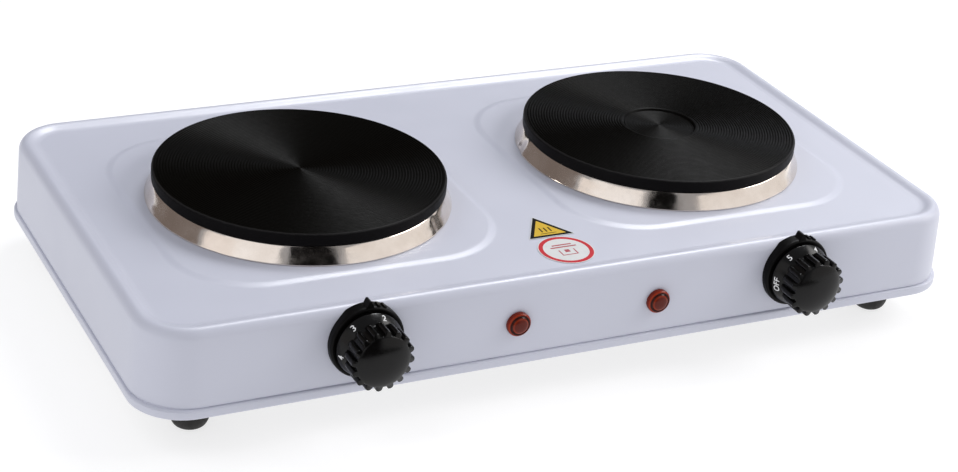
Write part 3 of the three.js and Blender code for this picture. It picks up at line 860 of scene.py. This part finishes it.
def print_label(text, at_angle, name, at, body):
    """Raised print that follows the knob's cone, its top towards the rim."""
    curve = bpy.data.curves.new(name, "FONT")
    curve.body = text
    curve.size = LABEL_SIZE
    curve.offset = 0.06
    curve.align_x, curve.align_y = "CENTER", "CENTER"
    curve.resolution_u = 5
    text_obj = bpy.data.objects.new(name, curve)
    scene.collection.objects.link(text_obj)
    bpy.context.view_layer.update()
    mesh = finished_mesh(text_obj)
    bpy.data.objects.remove(text_obj)
    bm = bmesh.new()
    bm.from_mesh(mesh)
    for step in np.arange(-6, 6.01, LABEL_SLICE):
        bmesh.ops.bisect_plane(bm, geom=bm.verts[:] + bm.edges[:] + bm.faces[:],
                               plane_co=(step, 0, 0), plane_no=(1, 0, 0))
    heights = [v.co.y for v in bm.verts]
    centre = (max(heights) + min(heights)) / 2
    bmesh.ops.solidify(bm, geom=bm.faces[:], thickness=LABEL_THICK)
    (r0, h0), (r1, h1) = CONE
    slant = math.hypot(r0 - r1, h0 - h1)
    out_r, out_h = (r0 - r1) / slant, (h0 - h1) / slant
    mid_r, mid_h = (r0 + r1) / 2, (h0 + h1) / 2
    for v in bm.verts:
        along, up, lift = v.co.x, v.co.y - centre, v.co.z + LABEL_LIFT
        angle = at_angle - along / mid_r
        r = mid_r + out_r * up - out_h * lift
        h = mid_h + out_h * up + out_r * lift
        v.co = Vector(frontal(r, h, angle)) * MM
    bmesh.ops.recalc_face_normals(bm, faces=bm.faces)
    bm.to_mesh(mesh)
    bm.free()
    mesh.materials.clear()
    mesh.materials.append(MARKING)
    obj = bpy.data.objects.new(name, mesh)
    scene.collection.objects.link(obj)
    obj.location = at
    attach(obj, body)


DIAL = 19.4
DIAL_DEPTH = 4.2        # most that the dial ring reaches back, over the rim
POINTER_TIP = 22.5
MARK_ANGLES = (-14, -24)        # of the two small marks beside the pointer


def dial_back(height):
    """Where the dial ring's back edge lies, behind the housing's front."""
    return min(inset_at(height), DIAL_DEPTH)


def ring_skin(height):
    """Dial ring with its back edge along the wall. height is its centre's."""
    profile = softened([(7.0, 0.6), (15.6, 0.6, 0.3), (16.6, 2.0, 0.3), (DIAL - 1.3, 2.4, 0.4),
                        (DIAL - 0.7, 2.4, 0.5), (DIAL, 1.5, 0.6), (DIAL, -0.2)], 3)
    profile += [(DIAL, None), (DIAL - 1.6, None), (DIAL - 1.6, 0.0), (7.0, 0.0)]
    skin = Skin()
    rings = []
    segments = 128
    for radius, reach in profile:
        points = []
        for i in range(segments):
            x, _, z = frontal(radius, 0, 2 * math.pi * i / segments)
            y = dial_back(height + z) if reach is None else -reach
            points.append((x, y, z))
        rings.append(skin.ring(points))
    skin.loft(rings, True)
    return skin


def prism(outline_points, low, high):
    """Upright outline, in x and z, drawn from reach low to high."""
    skin = Skin()
    back = skin.ring([(x, -low, z) for x, z in outline_points])
    front = skin.ring([(x, -high, z) for x, z in outline_points])
    skin.face(back)
    skin.bridge(back, front)
    skin.face(front[::-1])
    return skin


def merge(*skins):
    out = Skin()
    for skin in skins:
        shift = len(out.points)
        out.points += skin.points
        for face, tone in zip(skin.faces, skin.tones):
            out.face([i + shift for i in face], tone)
    return out


def spun(points, angle):
    """Points in x and z turned anticlockwise seen from the front."""
    c, s = math.cos(angle), math.sin(angle)
    return [(x * c - z * s, x * s + z * c) for x, z in points]


for name, _ in SIDES:
    at = joint_at[f"{name}_knob_turn"]
    body = f"{name}_dial"
    reach = (at.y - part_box(f"{name}_knob")[0].y) / MM
    rest = math.radians(REST_LABEL[name])
    knob = turned(knob_profile(reach), rib_angles(rest), frontal, rib_swell(rest))
    piece(f"{name}_grip_knob", knob, PLASTIC, body, f"{name}_knob", at, SMOOTH)
    for i, text in enumerate(LABELS):
        print_label(text, rest + math.radians(i * LABEL_STEP), f"{name}_mark_{text}", at, body)
    pointer = [(-2.4, DIAL - 1), (2.4, DIAL - 1), (0.5, POINTER_TIP), (-0.5, POINTER_TIP)]
    teeth = [prism(pointer, -3.0, 2.2)]
    for degrees in MARK_ANGLES:
        tooth = [(-1.0, DIAL - 1), (1.0, DIAL - 1), (0.6, DIAL + 0.9), (-0.6, DIAL + 0.9)]
        teeth.append(prism(spun(tooth, math.radians(degrees)), -2.6, 1.7))
    ring = merge(ring_skin(at.z / MM - DATUM), *teeth)
    piece(f"{name}_index_ring", ring, DULL_PLASTIC, "root",
          f"{name}_dial_ring", at, SMOOTH)


# ---- pilot lamps ----
for name, _ in SIDES:
    low, high = (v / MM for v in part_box(f"{name}_lamp_lens"))
    at = Vector(((low.x + high.x) / 2, FRONT, (low.z + high.z) / 2))
    reach = FRONT - low.y
    sink = reach - 1.6      # of the ring groove round the crown
    profile = flowing([(0, reach - 0.1), (1.6, reach - 0.15), (3.2, reach - 0.45),
                       (4.3, reach - 1.0)], 3)
    profile += softened([(4.6, sink), (4.9, reach - 1.9, 0.2), (5.3, sink, 0.2), (5.8, sink, 0.3),
                         (LENS_RADIUS, 0.2, 0.6), (LENS_RADIUS, -1.0)], 4)
    wall_in = inset_at(at.z - DATUM)
    profile += [(LENS_RADIUS, -wall_in), (4.8, -wall_in), (4.8, -16), (0, -16)]
    piece(f"{name}_pilot_lens", turned(profile, 72, frontal), LENS, "root",
          f"{name}_lamp_lens", at * MM)


# ---- feet, grommet ----
FOOT_SEAT = 14          # height in the foot where the screw's head bears
HEAD_HEIGHT = 2.3
CROSS = ((1.9, 0.35), (0.35, 1.9))      # half sizes of the two slots of the screw's cross
CROSS_DEPTH = 1.2
for end in ("front", "back"):
    for name, _ in SIDES:
        low, high = (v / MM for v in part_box(f"foot_{end}_{name}"))
        at = Vector(((low.x + high.x) / 2, (low.y + high.y) / 2, 0)) * MM
        profile = softened([(2.3, FOOT_SEAT), (4.2, FOOT_SEAT, 0.3), (4.4, 0.5, 0.4),
                            (5.0, 0, 0.4), (5.9, 0, 0.6), (8.2, 1.4, 1.2), (9.7, 4.4, 1.6),
                            (10.2, 8.5, 1.6), (10.7, high.z, 0.4), (2.3, high.z)], 5)
        piece(f"rubber_foot_{end}_{name}", turned(profile, 72, closed=True), RUBBER, "root",
              f"foot_{end}_{name}", at)

        low, high = (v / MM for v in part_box(f"foot_screw_{end}_{name}"))
        seat = low.z + HEAD_HEIGHT
        head = softened([(0, low.z), (2.4, low.z + 0.05, 0.5), (3.4, low.z + 0.7, 0.5),
                         (3.6, seat, 0.2), (2.0, seat), (2.0, high.z), (0, high.z)], 4)
        screw = piece(f"cross_screw_{end}_{name}", turned(head, 40), ZINC, "root",
                      f"foot_screw_{end}_{name}", at)
        carve(screw, [box_skin((-x, -y, low.z - 1), (x, y, low.z + CROSS_DEPTH))
                      for x, y in CROSS])

at = Vector(((grommet_low.x + grommet_high.x) / 2, house_high.y, grommet_z))
profile = softened([(4.2, 6), (9.0, 6, 0.8), (9.0, 3.5, 0.4), (6.7, 3.5), (6.7, 1.3),
                    (9.0, 1.3, 0.4), (8.6, 0.2, 0.8), (5.6, 0.2, 0.6), (4.2, 0.8), (4.2, 3)], 4)
piece("entry_grommet", turned(profile, 72, frontal, closed=True), RUBBER, "root",
      "cord_grommet", at * MM)


# ---- stickers ----
FOIL_BORDER, TRIANGLE_BAND = 1.4, 8.0   # taken off the triangle's side, for each inner outline
DISC_BORDER, DISC_BAND = 0.5, 2.8       # taken off the disc's radius
PRINT_LIFT = 0.02       # of the printed marks, above the foil


def flat_rings(loops, low, high, tones):
    """Flat printed foil.

    loops run from the outside in; tones are the colours of the bands between them, then the
    middle.
    """
    skin = Skin()
    bottom = skin.ring([(x, y, low) for x, y in loops[0]])
    skin.face(bottom[::-1], tones[0])
    rings = [skin.ring([(x, y, high) for x, y in loop]) for loop in loops]
    skin.bridge(bottom, rings[0], tones[0])
    skin.loft(rings, tones=tones)
    skin.face(rings[-1], tones[-1])
    return skin


def triangle(side, cut):
    """Triangle about its middle, with its corners rounded from cut away."""
    height = side * math.sqrt(3) / 2
    start = (0, -height / 3)
    corners = [(side / 2, -height / 3, cut), (0, height * 2 / 3, cut),
               (-side / 2, -height / 3, cut)]
    return softened([start, *corners, start], 4)[:-1]


def disc(radius, count=96):
    angles = [2 * math.pi * i / count for i in range(count)]
    return [(radius * math.cos(angle), radius * math.sin(angle)) for angle in angles]


def printed_bars(spans, top, tone):
    """Printed bars, each from x0 to x1 and y0 to y1."""
    bars = [box_skin((x0, y0, top - 0.05), (x1, y1, top + PRINT_LIFT)) for x0, x1, y0, y1 in spans]
    for bar in bars:
        bar.tones = [tone] * len(bar.tones)
    return bars


low, high = (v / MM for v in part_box("triangle_sticker"))
side_mm = high.x - low.x
foil_low, foil_high = low.z, high.z
at = Vector(((low.x + high.x) / 2, low.y + (high.y - low.y) / 3, 0)) * MM
skin = flat_rings([triangle(side_mm, 0.8), triangle(side_mm - FOIL_BORDER, 0.4),
                   triangle(side_mm - TRIANGLE_BAND, 0.4)], foil_low, foil_high, [0, 1, 2])
marks = [(x - 0.4, x + 0.4, -2.0, 2.6) for x in (-2.6, 0.0, 2.6)] + [(-4.6, 4.6, -4.0, -3.5)]
piece("triangle_label", merge(skin, *printed_bars(marks, foil_high, 1)),
      [WHITE_PRINT, BLACK_PRINT, YELLOW], "root", "triangle_sticker", at)

low, high = (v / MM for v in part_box("round_sticker"))
at = Vector(((low.x + high.x) / 2, (low.y + high.y) / 2, 0)) * MM
radius = (high.x - low.x) / 2
skin = flat_rings([disc(radius), disc(radius - DISC_BORDER), disc(radius - DISC_BAND)],
                  foil_low, foil_high, [0, 1, 0])
marks = [(-5.6, 5.6, 5.05, 6.15), (-7.4, 7.4, 2.75, 3.85), (-1.4, 1.4, -2.6, 0.2)]
marks += [(-4.6, -3.9, -5.6, 0.2), (3.9, 4.6, -5.6, 0.2), (-3.9, 3.9, -5.6, -4.9)]
piece("round_label", merge(skin, *printed_bars(marks, foil_high, 2)),
      [WHITE_PRINT, RED_PRINT, PINK_PRINT], "root", "round_sticker", at)


# ---- finishes of the CAD nodes that stay ----
FINISHES = {
    "zinc_steel": ZINC,
    "white_ceramic": CERAMIC,
    "magnesia_cement": CEMENT,
    "brown_lead": sleeve("brown_lead", (0.10, 0.045, 0.02)),
    "black_lead": sleeve("black_lead", (0.014, 0.014, 0.014)),
    "blue_lead": sleeve("blue_lead", (0.03, 0.08, 0.26)),
    "green_lead": sleeve("green_lead", (0.11, 0.27, 0.04)),
}
KINDS = {               # by the longest of these that is in the node's name
    "base_plate": "zinc_steel", "corner_bracket": "zinc_steel", "element_cover": "zinc_steel",
    "plate_stud": "zinc_steel", "clamp_yoke": "zinc_steel", "clamp_nut": "zinc_steel",
    "thermostat_screw": "zinc_steel", "thermostat_shaft": "zinc_steel",
    "earth_screw": "zinc_steel", "heating_element": "magnesia_cement",
    "plate_connector": "white_ceramic", "thermostat": "white_ceramic",
    "lamp_socket": "white_ceramic", "terminal_block": "white_ceramic",
    "line_wire": "brown_lead", "load_wire": "black_lead", "neutral_wire": "blue_lead",
    "earth_wire": "green_lead",
}
for name, obj in frame["nodes"].items():
    if obj.hide_render:
        continue
    kind = max((k for k in KINDS if k in name), key=len)
    obj.data.materials.clear()
    obj.data.materials.append(FINISHES[KINDS[kind]])
